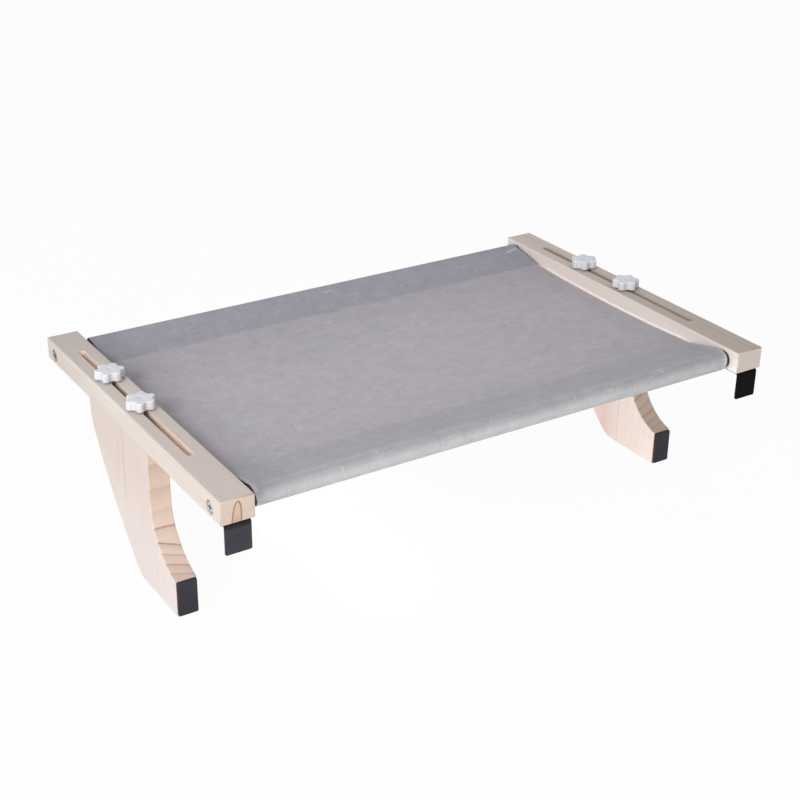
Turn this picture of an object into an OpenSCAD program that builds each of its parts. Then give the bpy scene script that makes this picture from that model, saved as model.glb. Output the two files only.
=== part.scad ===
// Window-sill cat hammock: two slotted rails joined by two tubes, a sling on the tubes, a hook under
// each rail's front end and a sliding leg under each rail, clamped through the slot by two star knobs.
// Millimetres. +X runs along the tubes, +Y from the hooks to the back, +Z up. The origin is midway
// between the rails, where the hooks' inner faces meet the plane of the sill's top.

/* [Overall] */
// Width over the two side rails
overall_width = 556; // [400:1:760]
// Length of a side rail
rail_length = 360; // [300:1:520]
// Drop of the legs below the rails' undersides
leg_drop = 144; // [110:1:200]

/* [Rails] */
// Width of a rail, seen from above
rail_width = 30; // [24:0.5:45]
// Height of a rail
rail_height = 21; // [18:0.5:32]
// Radius of a rail's rounded edges
rail_edge = 1.6; // [0.5:0.1:3]
// Distance from a rail's front end to the slot
slot_front = 80; // [60:0.5:100]
// Distance from the slot to a rail's back end
slot_back = 46; // [36:0.5:70]

/* [Tubes and bolts] */
// Outside diameter of a tube
rod_diameter = 16; // [12:0.5:20]
// Wall of a tube
rod_wall = 1.2; // [0.8:0.1:2]
// Distance from a rail's end to the tube's axis
rod_inset = 18; // [14:0.5:30]
// Distance of the tube's axis below the middle of the rail's height
rod_drop = 1.5; // [0:0.1:3]
// Length of a threaded plug in the tube's end
plug_length = 20; // [14:1:40]
// Diameter of a bolt's shank
bolt_diameter = 6; // [5:0.5:8]
// Diameter of a bolt's head
bolt_head_diameter = 10.6; // [9:0.1:15]
// Height of a bolt's head
bolt_head_height = 3.6; // [2:0.1:5]
// Depth of the head's top below the rail's outer face
head_set_in = 0.2; // [0:0.1:3]
// Radial clearance of the head in its counterbore
counterbore_clearance = 0.7; // [0.5:0.1:2]
// Reach of a bolt into its plug
bolt_grip = 13; // [8:0.5:18]
// Width of one arm of the cross recess
recess_width = 1.3; // [0.8:0.1:2]
// Length of one arm of the cross recess, tip to tip
recess_length = 5.8; // [4:0.1:9]
// Depth of the cross recess
recess_depth = 2; // [1:0.1:3]

/* [Sling] */
// Thickness of the canvas
cloth = 1.4; // [1:0.1:3]
// Distance from a tube's axis to the seam of its sleeve
sleeve_reach = 45; // [30:1:70]
// Gap between the sling's end and the rail beside it
sling_end_gap = 4; // [1:0.5:10]
// Sag of the sling at its middle
sling_sag = 3; // [1:0.5:12]
// Half length of the seam where a sleeve's two layers meet
seam_length = 5; // [3:0.5:8]
// Angle between a sleeve's round part and its flat part, degrees
sleeve_blend = 3; // [1:0.5:6]

/* [Hooks] */
// Width of a hook
hook_width = 23; // [16:0.5:30]
// Thickness of a hook's strip
hook_thickness = 2; // [1.5:0.1:3]
// Drop of a hook's flap below the sill's top
hook_drop = 25; // [15:0.5:40]
// Length of the hook's leg under the rail
hook_length = 48; // [40:1:52]
// Outside radius of the hook's bend
hook_bend = 3.5; // [2.5:0.1:5]
// Radius of the flap's lower corners
hook_corner = 1.4; // [1:0.1:5]
// Distance of the flap behind the rail's front end
hook_setback = 0.7; // [0.3:0.1:3]
// Distance from the second screw to the hook's back end
hook_screw_margin = 8; // [6:0.5:12]
// Distance between the two screws
hook_screw_pitch = 13; // [10:0.5:18]
// Diameter of a wood screw
screw_diameter = 4; // [3:0.1:5]
// Diameter of a wood screw's head
screw_head_diameter = 7.4; // [6:0.1:9]
// Length of a wood screw above the hook
screw_length = 13; // [8:0.5:16]
// Length of a wood screw's point
screw_point = 3; // [2:0.1:5]
// Width of one arm of a wood screw's cross recess
screw_recess_width = 0.9; // [0.5:0.1:1.5]
// Length of one arm of a wood screw's cross recess, tip to tip
screw_recess_length = 4; // [2:0.1:5]
// Depth of a wood screw's cross recess
screw_recess_depth = 1.2; // [0.6:0.1:1.6]

/* [Legs] */
// Thickness of a leg
leg_thickness = 20; // [16:0.5:28]
// Length of a leg's top, along the rail
leg_top_length = 124.5; // [100:0.5:160]
// Distance from the rail's front end to the middle of the leg's top
leg_place = 212; // [190:0.5:230]
// Reach of the foot in front of the leg's top
foot_reach = 43.5; // [30:0.5:60]
// Height of the foot's front face
foot_height = 35; // [28:0.5:50]
// Length of the foot's flat underside
foot_length = 74; // [50:0.5:90]
// Radius of the hollow between the leg and its foot
leg_hollow = 55; // [40:0.5:65]
// Depth of the straight part at the top of the leg's back
leg_back_straight = 26; // [15:0.5:40]
// Radius of the leg's long curved back
leg_back_radius = 450; // [250:5:900]
// Radius of the rounding at the top of the curved back
leg_upper_round = 45; // [20:1:60]
// Radius of the rounding at the bottom of the curved back
leg_lower_round = 26; // [12:1:40]
// Thickness of a foot pad
pad_thickness = 2.5; // [1.5:0.1:5]
// Margin of the foot's wood around its pad
pad_margin = 0.8; // [0.5:0.1:3]
// Radius of a foot pad's corners
pad_corner = 1.5; // [0.5:0.1:4]

/* [Knobs and studs] */
// Diameter of a knob over its lobes
knob_diameter = 27; // [22:0.5:34]
// Number of lobes on a knob
knob_lobes = 6; // [5:1:7]
// Thickness of a knob's lobed head
knob_head = 8; // [6:0.5:12]
// Height of the round hub under the head
knob_hub_height = 1.6; // [1:0.1:4]
// Diameter of the hub
knob_hub_diameter = 14; // [11:0.5:18]
// Radius of a lobe's tip
lobe_radius = 3.7; // [2.5:0.1:5]
// Radius of the rounded rim of the head
knob_rim = 1.8; // [0.5:0.1:3]
// Diameter of a stud
stud_diameter = 6; // [5:0.5:8]
// Distance between a leg's two studs
stud_pitch = 67; // [50:0.5:90]
// Depth of a stud in its knob
stud_in_knob = 6; // [4:0.5:8]
// Reach of a stud into its insert with the knob done up
stud_grip = 11; // [8:0.5:16]
// Length of a threaded insert
insert_length = 13; // [10:0.5:18]
// Wall of a threaded insert
insert_wall = 1.5; // [1:0.1:3]
// Free depth below an insert
insert_run_out = 6; // [3:0.5:12]
// Turn of the left front knob at rest, degrees
left_front_turn = 4; // [0:1:59]
// Turn of the left rear knob at rest, degrees
left_rear_turn = 50; // [0:1:59]
// Turn of the right front knob at rest, degrees
right_front_turn = 30; // [0:1:59]
// Turn of the right rear knob at rest, degrees
right_rear_turn = 57; // [0:1:59]

/* [Clearances] */
// Gap under the rail and under the knob that lets a leg slide
slide_gap = 0.2; // [0.1:0.05:0.5]
// Radial clearance of a stud, a bolt or a plug in its hole
fit_gap = 0.05; // [0.02:0.01:0.1]
// Side clearance of a stud in its rail's slot
slot_clearance = 0.2; // [0.2:0.1:1.5]
// Radial clearance of the cloth around a tube
cloth_gap = 0.3; // [0.3:0.05:1]
// Extra length that lets a cutter pass through a surface
cut = 1; // [0.5:0.1:2]
// Facets of a full circle
facets = 96; // [48:8:160]
// Facets of a full circle for the long shallow arcs
long_facets = 1440; // [720:120:2880]

/* [Hidden] */
$fn = facets;
full_turn = 360;
quarter = 90;
half = 1 / 2;
centre_x = half * (overall_width - rail_width);
inner_x = half * overall_width - rail_width;
rail_front = -(hook_thickness + hook_setback);
rail_back = rail_front + rail_length;
rail_low = hook_thickness;
rail_top = rail_low + rail_height;
front_rod_y = rail_front + rod_inset;
rear_rod_y = rail_back - rod_inset;
rod_z = rail_low + half * rail_height - rod_drop;
rod_r = half * rod_diameter;
plug_r = rod_r - rod_wall - fit_gap;
bolt_r = half * bolt_diameter - fit_gap;
counterbore_depth = bolt_head_height + head_set_in;
counterbore_diameter = bolt_head_diameter + 2 * counterbore_clearance;
slot_width = stud_diameter + 2 * slot_clearance;
slot_start = rail_front + slot_front;
slot_end = rail_back - slot_back;
hook_screw_start = hook_length - hook_screw_margin - hook_screw_pitch;
leg_low = rail_low - leg_drop;
leg_top = rail_low - slide_gap;
leg_middle = rail_front + leg_place;
leg_front = leg_middle - half * leg_top_length;
leg_back = leg_middle + half * leg_top_length;
foot_front = leg_front - foot_reach;
foot_top = leg_low + foot_height;
front_stud_y = leg_middle - half * stud_pitch;
rear_stud_y = leg_middle + half * stud_pitch;
stud_r = half * stud_diameter - fit_gap;
stud_low = leg_top - stud_grip;
knob_low = rail_top + slide_gap;
stud_top = knob_low + stud_in_knob;
insert_diameter = stud_diameter + 2 * insert_wall;
sleeve_in = rod_r + cloth_gap;
sleeve_out = sleeve_in + cloth;
sling_half = inner_x - sling_end_gap;
front_seam_y = front_rod_y + sleeve_reach;
rear_seam_y = rear_rod_y - sleeve_reach;
sheet_half = half * (rear_seam_y - front_seam_y);
sheet_mid_y = half * (rear_seam_y + front_seam_y);
sheet_r = (sheet_half * sheet_half + sling_sag * sling_sag) / (2 * sling_sag);
sheet_z = rod_z - sling_sag + sheet_r;
// Ends and centre of the leg's long curved back
back_top = [leg_back, leg_top - leg_back_straight];
back_low = [foot_front + foot_length, leg_low];
back_chord = norm(back_top - back_low);
back_rise = sqrt(leg_back_radius * leg_back_radius - half * back_chord * half * back_chord);
back_along = (back_top - back_low) / back_chord;
back_centre = half * (back_top + back_low) + back_rise * [-back_along[1], back_along[0]];
// Centres of the two roundings that join the curve to the straight back and to the foot's underside
upper_y = leg_back - leg_upper_round;
upper_reach = leg_back_radius - leg_upper_round;
upper_centre = [upper_y,
    back_centre[1] - sqrt(upper_reach * upper_reach - pow(upper_y - back_centre[0], 2))];
lower_z = leg_low + leg_lower_round;
lower_reach = leg_back_radius - leg_lower_round;
lower_centre = [back_centre[0] + sqrt(lower_reach * lower_reach - pow(lower_z - back_centre[1], 2)),
    lower_z];
// The hollow in front of the leg
hollow_y = leg_front - leg_hollow;
hollow_z = foot_top + sqrt(leg_hollow * leg_hollow - pow(foot_front - hollow_y, 2));
// Star of a knob: lobe circles joined by hollow circles that touch them
knob_r = half * knob_diameter;
lobe_at = knob_r - lobe_radius;
lobe_step = full_turn / knob_lobes;
lobe_cos = lobe_at * cos(half * lobe_step);
lobe_sin = lobe_at * sin(half * lobe_step);
hollow_radius = lobe_radius;
hollow_at = lobe_cos + sqrt(pow(lobe_radius + hollow_radius, 2) - lobe_sin * lobe_sin);

wood = [0.86, 0.78, 0.68];
canvas = [0.62, 0.61, 0.63];
black = [0.06, 0.06, 0.07];
rubber = [0.16, 0.16, 0.18];
steel = [0.75, 0.76, 0.78];
brass = [0.78, 0.62, 0.32];
white = [0.92, 0.92, 0.94];

// A rectangle with rounded corners, from one corner to the opposite one
module round_rect(low, high, radius) {
    translate([low[0] + radius, low[1]]) square([high[0] - low[0] - 2 * radius, high[1] - low[1]]);
    translate([low[0], low[1] + radius]) square([high[0] - low[0], high[1] - low[1] - 2 * radius]);
    for (x = [low[0] + radius, high[0] - radius], y = [low[1] + radius, high[1] - radius])
        translate([x, y]) circle(radius);
}

// A profile drawn in Y and Z, extruded along X from a start
module along_x(start, length) {
    translate([start, 0, 0]) rotate([quarter, 0, quarter]) linear_extrude(length) children();
}

// A block with every edge rounded
module round_block(low, high, radius) {
    size = high - low;
    intersection() {
        along_x(low[0], size[0]) round_rect([low[1], low[2]], [high[1], high[2]], radius);
        translate([0, high[1], 0]) rotate([quarter, 0, 0]) linear_extrude(size[1])
            round_rect([low[0], low[2]], [high[0], high[2]], radius);
        translate([0, 0, low[2]]) linear_extrude(size[2])
            round_rect([low[0], low[1]], [high[0], high[1]], radius);
    }
}

// A cylinder along X from a start
module rod_x(start, length, radius) {
    translate([start, 0, 0]) rotate([0, quarter, 0]) cylinder(h = length, r = radius);
}

// Right-hand rail with its slot, bolt holes and screw holes
module rail() {
    difference() {
        round_block([inner_x, rail_front, rail_low], [inner_x + rail_width, rail_back, rail_top],
            rail_edge);
        for (y = [slot_start + half * slot_width, slot_end - half * slot_width])
            translate([centre_x, y, rail_low - cut]) cylinder(h = rail_height + 2 * cut, d = slot_width);
        translate([centre_x - half * slot_width, slot_start + half * slot_width, rail_low - cut])
            cube([slot_width, slot_end - slot_start - slot_width, rail_height + 2 * cut]);
        for (y = [front_rod_y, rear_rod_y]) translate([0, y, rod_z]) {
            rod_x(inner_x - cut, rail_width + 2 * cut, half * bolt_diameter);
            rod_x(inner_x + rail_width - counterbore_depth, counterbore_depth + cut,
                half * counterbore_diameter);
        }
        for (y = [hook_screw_start, hook_screw_start + hook_screw_pitch])
            translate([centre_x, y, rail_low - cut])
                cylinder(h = screw_length + cut + fit_gap, d = screw_diameter + 2 * fit_gap);
    }
}

// A tube between the rails
module tube(y) {
    translate([0, y, rod_z]) difference() {
        rod_x(-inner_x, 2 * inner_x, rod_r);
        rod_x(-inner_x - cut, 2 * (inner_x + cut), rod_r - rod_wall);
    }
}

// The threaded plugs in both ends of a tube
module tube_plugs(y) {
    for (side = [-1, 1]) translate([0, y, rod_z]) difference() {
        rod_x(side > 0 ? inner_x - plug_length : -inner_x, plug_length, plug_r);
        rod_x(side > 0 ? inner_x - plug_length - cut : -inner_x - cut, plug_length + 2 * cut,
            half * bolt_diameter);
    }
}

// Right-hand bolts: a domed head with a cross recess and a shank that ends in the tube's plug
module rail_bolts() {
    seat = inner_x + rail_width - counterbore_depth;
    crown = half * half * bolt_head_height;
    for (y = [front_rod_y, rear_rod_y]) translate([0, y, rod_z]) difference() {
        union() {
            rod_x(inner_x - bolt_grip, seat - inner_x + bolt_grip + cut, bolt_r);
            rod_x(seat, bolt_head_height - crown, half * bolt_head_diameter);
            translate([seat + bolt_head_height - crown, 0, 0]) rotate([0, quarter, 0])
                cylinder(h = crown, r1 = half * bolt_head_diameter,
                    r2 = half * bolt_head_diameter - 2 * crown);
        }
        for (turn = [0, quarter]) rotate([turn, 0, 0])
            translate([seat + bolt_head_height - recess_depth, -half * recess_length, -half * recess_width])
                cube([recess_depth + cut, recess_length, recess_width]);
    }
}

// Outline of a sleeve: a circle round the tube drawn out to a seam on its far side
module sleeve_outline(y, way, radius, reach) {
    shoulder = radius * cos(sleeve_blend);
    lean = acos(shoulder / reach);
    translate([y, rod_z]) {
        circle(radius);
        polygon([[0, 0], way * shoulder * [cos(lean), -sin(lean)], [way * reach, 0],
            way * shoulder * [cos(lean), sin(lean)]]);
    }
}

// The sling: a sagging sheet between two sleeves
module sling() {
    color(canvas) along_x(-sling_half, 2 * sling_half) difference() {
        union() {
            sleeve_outline(front_rod_y, 1, sleeve_out, sleeve_reach + seam_length);
            sleeve_outline(rear_rod_y, -1, sleeve_out, sleeve_reach + seam_length);
            intersection() {
                translate([sheet_mid_y, sheet_z]) difference() {
                    circle(sheet_r + half * cloth, $fn = long_facets);
                    circle(sheet_r - half * cloth, $fn = long_facets);
                }
                translate([front_seam_y, rod_z - sling_sag - cloth])
                    square([2 * sheet_half, sling_sag + 2 * cloth]);
            }
        }
        sleeve_outline(front_rod_y, 1, sleeve_in, sleeve_reach - seam_length);
        sleeve_outline(rear_rod_y, -1, sleeve_in, sleeve_reach - seam_length);
    }
}

// Right-hand hook: a strip under the rail bent down at the front
module hook() {
    difference() {
        along_x(centre_x - half * hook_width, hook_width) difference() {
            union() {
                translate([hook_bend - hook_thickness, 0])
                    square([hook_length - hook_bend + hook_thickness, hook_thickness]);
                translate([-hook_thickness, -hook_drop])
                    square([hook_thickness, hook_drop + hook_thickness - hook_bend]);
                translate([hook_bend - hook_thickness, hook_thickness - hook_bend]) intersection() {
                    circle(hook_bend);
                    translate([-hook_bend, 0]) square(hook_bend);
                }
            }
            translate([hook_bend - hook_thickness, hook_thickness - hook_bend])
                circle(hook_bend - hook_thickness);
        }
        for (side = [-1, 1])
            translate([centre_x + side * (half * hook_width - hook_corner), half * hook_thickness,
                hook_corner - hook_drop]) rotate([quarter, 0, 0]) difference() {
                translate([side > 0 ? 0 : -hook_corner - cut, -hook_corner - cut, -cut])
                    cube([hook_corner + cut, hook_corner + cut, 2 * hook_thickness + 2 * cut]);
                translate([0, 0, -2 * cut]) cylinder(h = 2 * hook_thickness + 4 * cut, r = hook_corner);
            }
        for (y = [hook_screw_start, hook_screw_start + hook_screw_pitch]) translate([centre_x, y, 0]) {
            translate([0, 0, -cut])
                cylinder(h = hook_thickness + 2 * cut, d = screw_diameter + 2 * fit_gap);
            cylinder(h = hook_thickness, d1 = screw_head_diameter + 2 * fit_gap,
                d2 = screw_diameter + 2 * fit_gap);
        }
    }
}

// Right-hand hook screws
module hook_screws() {
    for (y = [hook_screw_start, hook_screw_start + hook_screw_pitch]) translate([centre_x, y, 0]) {
        translate([0, 0, fit_gap]) difference() {
            cylinder(h = hook_thickness - fit_gap, d1 = screw_head_diameter - 2 * fit_gap,
                d2 = screw_diameter);
            for (turn = [0, quarter]) rotate(turn)
                translate([-half * screw_recess_length, -half * screw_recess_width, -cut])
                    cube([screw_recess_length, screw_recess_width, screw_recess_depth + cut]);
        }
        translate([0, 0, hook_thickness]) cylinder(h = screw_length - screw_point, d = screw_diameter);
        translate([0, 0, hook_thickness + screw_length - screw_point])
            cylinder(h = screw_point, d1 = screw_diameter, r2 = fit_gap);
    }
}

// The corner between a straight edge and the curved back that a rounding takes away
module corner_off(touch, centre, radius) {
    out = (centre - back_centre) / norm(centre - back_centre);
    meet = centre + radius * out;
    way = (touch - centre) / radius;
    apex = centre + radius * (way + out) / (1 + way * out);
    difference() {
        polygon([centre, touch, apex, meet]);
        translate(centre) circle(radius);
    }
}

// Outline of a leg
module leg_outline() {
    difference() {
        intersection() {
            translate([foot_front, leg_low]) square([leg_back - foot_front, leg_top - leg_low]);
            translate(back_centre) circle(leg_back_radius, $fn = long_facets);
        }
        translate([foot_front - cut, hollow_z])
            square([leg_front - foot_front + cut, leg_top - hollow_z + cut]);
        translate([hollow_y, hollow_z]) circle(leg_hollow);
        corner_off([leg_back, upper_centre[1]], upper_centre, leg_upper_round);
        corner_off([lower_centre[0], leg_low], lower_centre, leg_lower_round);
    }
}

// Right-hand leg
module leg() {
    difference() {
        along_x(centre_x - half * leg_thickness, leg_thickness) leg_outline();
        for (y = [front_stud_y, rear_stud_y]) translate([centre_x, y, leg_top]) {
            translate([0, 0, -insert_length])
                cylinder(h = insert_length + cut, d = insert_diameter + 2 * fit_gap);
            translate([0, 0, -insert_length - insert_run_out])
                cylinder(h = insert_run_out + cut, d = stud_diameter + 2 * fit_gap);
        }
    }
}

// Right-hand foot pad
module foot_pad() {
    width = leg_thickness - 2 * pad_margin;
    translate([0, foot_front, 0]) rotate([quarter, 0, 0]) linear_extrude(pad_thickness)
        round_rect([centre_x - half * width, leg_low + pad_margin],
            [centre_x + half * width, foot_top - pad_margin], pad_corner);
}

// Right-hand threaded inserts
module inserts() {
    for (y = [front_stud_y, rear_stud_y]) translate([centre_x, y, leg_top - insert_length]) difference() {
        cylinder(h = insert_length, d = insert_diameter);
        translate([0, 0, -cut]) cylinder(h = insert_length + 2 * cut, d = stud_diameter);
    }
}

// A stud
module stud(x, y) {
    color(steel) translate([x, y, stud_low]) cylinder(h = stud_top - stud_low, r = stud_r);
}

// Outline of a knob's head
module star() {
    difference() {
        polygon([for (i = [0 : 2 * knob_lobes - 1]) (i % 2 == 0 ? lobe_at : hollow_at)
            * [cos(i * half * lobe_step), sin(i * half * lobe_step)]]);
        for (i = [0 : knob_lobes - 1]) rotate((i + half) * lobe_step)
            translate([hollow_at, 0]) circle(hollow_radius);
    }
    for (i = [0 : knob_lobes - 1]) rotate(i * lobe_step) translate([lobe_at, 0]) circle(lobe_radius);
}

// A knob: a star with a rounded rim on a round hub, bored for its stud
module knob(x, y, turn) {
    head_low = knob_low + knob_hub_height;
    color(white) translate([x, y, 0]) rotate(turn) difference() {
        union() {
            translate([0, 0, knob_low]) cylinder(h = knob_hub_height + cut, d = knob_hub_diameter);
            intersection() {
                translate([0, 0, head_low]) linear_extrude(knob_head) star();
                translate([0, 0, head_low]) rotate_extrude() {
                    square([knob_r - knob_rim, knob_head]);
                    square([knob_r, knob_head - knob_rim]);
                    translate([knob_r - knob_rim, knob_head - knob_rim]) circle(knob_rim);
                }
            }
        }
        translate([0, 0, knob_low - cut]) cylinder(h = stud_in_knob + fit_gap + cut, d = stud_diameter);
    }
}

module left_rail() { color(wood) mirror([1, 0, 0]) rail(); }
module right_rail() { color(wood) rail(); }
module front_rod() { color(black) tube(front_rod_y); }
module rear_rod() { color(black) tube(rear_rod_y); }
module front_rod_plugs() { color(steel) tube_plugs(front_rod_y); }
module rear_rod_plugs() { color(steel) tube_plugs(rear_rod_y); }
module left_rod_bolts() { color(steel) mirror([1, 0, 0]) rail_bolts(); }
module right_rod_bolts() { color(steel) rail_bolts(); }
module left_hook() { color(black) mirror([1, 0, 0]) hook(); }
module right_hook() { color(black) hook(); }
module left_hook_screws() { color(steel) mirror([1, 0, 0]) hook_screws(); }
module right_hook_screws() { color(steel) hook_screws(); }
module left_leg() { color(wood) mirror([1, 0, 0]) leg(); }
module right_leg() { color(wood) leg(); }
module left_foot_pad() { color(rubber) mirror([1, 0, 0]) foot_pad(); }
module right_foot_pad() { color(rubber) foot_pad(); }
module left_inserts() { color(brass) mirror([1, 0, 0]) inserts(); }
module right_inserts() { color(brass) inserts(); }
module left_front_stud() { stud(-centre_x, front_stud_y); }
module left_rear_stud() { stud(-centre_x, rear_stud_y); }
module right_front_stud() { stud(centre_x, front_stud_y); }
module right_rear_stud() { stud(centre_x, rear_stud_y); }
module left_front_knob() { knob(-centre_x, front_stud_y, left_front_turn); }
module left_rear_knob() { knob(-centre_x, rear_stud_y, left_rear_turn); }
module right_front_knob() { knob(centre_x, front_stud_y, right_front_turn); }
module right_rear_knob() { knob(centre_x, rear_stud_y, right_rear_turn); }

left_rail();
right_rail();
front_rod();
rear_rod();
front_rod_plugs();
rear_rod_plugs();
left_rod_bolts();
right_rod_bolts();
sling();
left_hook();
right_hook();
left_hook_screws();
right_hook_screws();
left_leg();
right_leg();
left_foot_pad();
right_foot_pad();
left_inserts();
right_inserts();
left_front_stud();
left_rear_stud();
right_front_stud();
right_rear_stud();
left_front_knob();
left_rear_knob();
right_front_knob();
right_rear_knob();
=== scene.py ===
"""The visible model of the window-sill cat hammock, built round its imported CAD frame.

Metres, in the CAD frame: +X along the tubes, +Y from the hooks to the back, +Z up.
"""

import math

import bmesh
import bpy
from mathutils import Matrix, Vector, noise


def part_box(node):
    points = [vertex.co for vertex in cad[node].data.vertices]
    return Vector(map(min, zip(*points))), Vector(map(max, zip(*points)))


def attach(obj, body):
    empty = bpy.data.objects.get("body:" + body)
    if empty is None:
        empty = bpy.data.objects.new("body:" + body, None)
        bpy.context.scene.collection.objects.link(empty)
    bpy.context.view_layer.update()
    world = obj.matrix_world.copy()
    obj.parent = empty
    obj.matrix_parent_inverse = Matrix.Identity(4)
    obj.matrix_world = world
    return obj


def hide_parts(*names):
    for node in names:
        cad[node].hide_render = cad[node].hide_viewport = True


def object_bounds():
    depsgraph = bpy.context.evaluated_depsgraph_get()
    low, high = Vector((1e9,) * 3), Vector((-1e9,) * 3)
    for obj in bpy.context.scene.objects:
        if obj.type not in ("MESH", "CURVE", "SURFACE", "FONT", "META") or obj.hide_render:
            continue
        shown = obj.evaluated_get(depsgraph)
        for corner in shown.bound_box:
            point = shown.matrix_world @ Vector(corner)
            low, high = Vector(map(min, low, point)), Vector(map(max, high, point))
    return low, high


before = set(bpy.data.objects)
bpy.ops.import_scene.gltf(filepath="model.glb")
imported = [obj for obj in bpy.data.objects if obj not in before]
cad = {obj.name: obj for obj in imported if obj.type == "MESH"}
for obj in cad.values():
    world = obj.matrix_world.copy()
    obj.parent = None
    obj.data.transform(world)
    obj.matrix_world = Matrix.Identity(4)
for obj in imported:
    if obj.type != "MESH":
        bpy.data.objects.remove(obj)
cad_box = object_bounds()
scene = bpy.context.scene

MM = 0.001
X, Y, Z = 0, 1, 2
SIDES = ("left", "right")
ENDS = ("front", "rear")
CORNERS = tuple((side, end) for side in SIDES for end in ENDS)
WHITE = (1.0, 1.0, 1.0, 1.0)
# Points this near to a face lie on it
TOUCH = 0.01 * MM


# Camera
LENS = 68.62
SENSOR_WIDTH = 36.0
NEAREST = 0.05
FARTHEST = 50.0
CAMERA_PLACE = Vector((-0.6975, -0.9080, 0.5959))
CAMERA_FORWARD = Vector((0.4835, 0.7565, -0.4404))
CAMERA_RIGHT = Vector((0.8452, -0.5343, 0.0102))


def make_camera():
    data = bpy.data.cameras.new("camera")
    data.lens = LENS
    data.sensor_width = SENSOR_WIDTH
    data.clip_start = NEAREST
    data.clip_end = FARTHEST
    camera = bpy.data.objects.new("camera", data)
    scene.collection.objects.link(camera)
    forward = CAMERA_FORWARD.normalized()
    right = (CAMERA_RIGHT - forward * CAMERA_RIGHT.dot(forward)).normalized()
    up = right.cross(forward)
    place = Matrix((right, up, -forward)).transposed().to_4x4()
    place.translation = CAMERA_PLACE
    camera.matrix_world = place
    scene.camera = camera


make_camera()


# Material tools
MIX_SHARE, MIX_A, MIX_B = 0, 6, 7
MIX_RESULT = 2
# How far a noise is shifted along X, Y and Z, for each unit of its seed
SEED_STEPS = (1.0, 1.7, 2.3)
# Most values of a noise lie between these, and nearly all between the wide ones
USUAL = (0.3, 0.7)
WIDE = (0.2, 0.8)


class Graph:
    """A node tree, with one call for each node."""

    def __init__(self, tree):
        self.tree = tree

    def put(self, socket, value):
        if isinstance(value, bpy.types.NodeSocket):
            self.tree.links.new(value, socket)
        else:
            socket.default_value = value

    def node(self, kind, inputs, output=0, **settings):
        made = self.tree.nodes.new("ShaderNode" + kind)
        for key, value in settings.items():
            setattr(made, key, value)
        for key, value in inputs.items():
            self.put(made.inputs[key], value)
        return made.outputs[output]

    def math(self, operation, a, b=0.0):
        return self.node("Math", {0: a, 1: b}, operation=operation)

    def add(self, a, b):
        return self.math("ADD", a, b)

    def times(self, a, b):
        return self.math("MULTIPLY", a, b)

    def size(self, value):
        return self.math("ABSOLUTE", value)

    def vector(self, operation, a, b=(0, 0, 0), output=0):
        return self.node("VectorMath", {0: a, 1: b}, output, operation=operation)

    def parts(self, vector):
        """A vector's X, Y and Z."""
        split = self.node("SeparateXYZ", {0: vector}).node
        return tuple(split.outputs)

    def spread(self, value, low, high, to_low=0.0, to_high=1.0):
        """value from low to high, eased into to_low to to_high."""
        return self.node(
            "MapRange",
            {0: value, 1: low, 2: high, 3: to_low, 4: to_high},
            interpolation_type="SMOOTHSTEP",
        )

    def mix(self, share, a, b, blend="MIX"):
        sockets = {MIX_SHARE: share, MIX_A: a, MIX_B: b}
        return self.node("Mix", sockets, MIX_RESULT, data_type="RGBA", blend_type=blend)

    def tinted(self, share, colour, tint):
        """A colour that goes, by a share, to itself multiplied by a tint."""
        return self.mix(share, colour, self.mix(1.0, colour, tint, "MULTIPLY"))

    def shaded(self, colour, shade):
        grey = self.node("CombineColor", {0: shade, 1: shade, 2: shade})
        return self.mix(1.0, colour, grey, "MULTIPLY")

    def noise(self, vector, scale=1.0, detail=2.0, roughness=0.5):
        return self.node(
            "TexNoise",
            {"Vector": vector, "Scale": scale, "Detail": detail, "Roughness": roughness},
        )

    def stretched(self, vector, scale, seed=0.0):
        move = tuple(seed * step for step in SEED_STEPS)
        return self.node("Mapping", {"Vector": vector, "Location": move, "Scale": scale})

    def bump(self, height, strength, distance):
        return self.node("Bump", {"Height": height, "Strength": strength, "Distance": distance})


class Finish(Graph):
    """A material made of one principled shader."""

    def __init__(self, name):
        self.material = bpy.data.materials.new(name)
        self.material.use_nodes = True
        super().__init__(self.material.node_tree)
        self.place = self.node("TexCoord", {}, "Object")
        self.facing = self.node("TexCoord", {}, "Normal")

    def at(self, axis):
        """Where the surface is along an axis of the CAD frame, in metres."""
        return self.parts(self.place)[axis]

    def faces(self, axis):
        """How squarely the surface faces along an axis, from -1 to 1."""
        return self.parts(self.facing)[axis]

    def done(self, **sockets):
        shader = self.tree.nodes["Principled BSDF"]
        for key, value in sockets.items():
            self.put(shader.inputs[key.replace("_", " ")], value)
        return self.material


def rgb(red, green, blue):
    return (red, green, blue, 1.0)


# Growth rings
BAND_DARK, LINE_DARK = 0.3, 0.7
# Where in a ring, from 0 to 1, they start, peak and begin to fade
BAND_START = 0.25
LINE_START = 0.76
LATE_PEAK = 0.9
LATE_FADE = 0.94
# What is left of the line where a board's rings aren't crisp
SOFT_LINE = 0.1
# How squarely a face meets the rings, from no cut to a full one
CUT_RANGE = (0.2, 0.8)


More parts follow.
